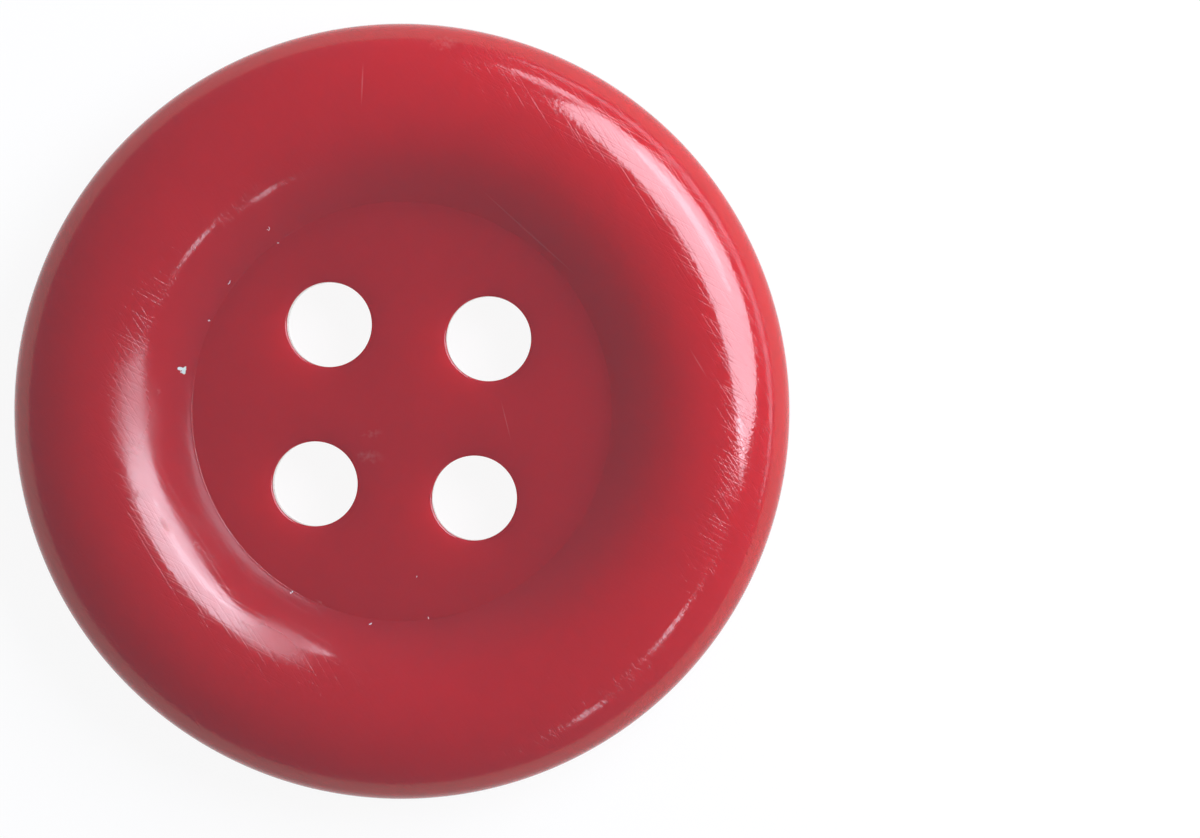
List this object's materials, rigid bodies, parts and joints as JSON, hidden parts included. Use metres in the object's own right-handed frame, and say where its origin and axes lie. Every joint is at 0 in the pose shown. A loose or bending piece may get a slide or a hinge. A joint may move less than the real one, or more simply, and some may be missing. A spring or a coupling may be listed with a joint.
{
  "type": "sew-through button",
  "caption": "Round sew-through coat button with a fat rounded rim, a flat-floored well and thread holes through the floor, in glossy red plastic.",
  "frame": {"origin": "centre of the flat back face", "axes": "+Z along the button's axis, out of its face; X and Y along the rows of holes"},
  "size_m": [0.0342, 0.0342, 0.005],
  "materials": {
    "red_plastic": "polished, with fine scratches"
  },
  "bodies": {
    "root": {"button": "red_plastic"}
  },
  "joints": []
}
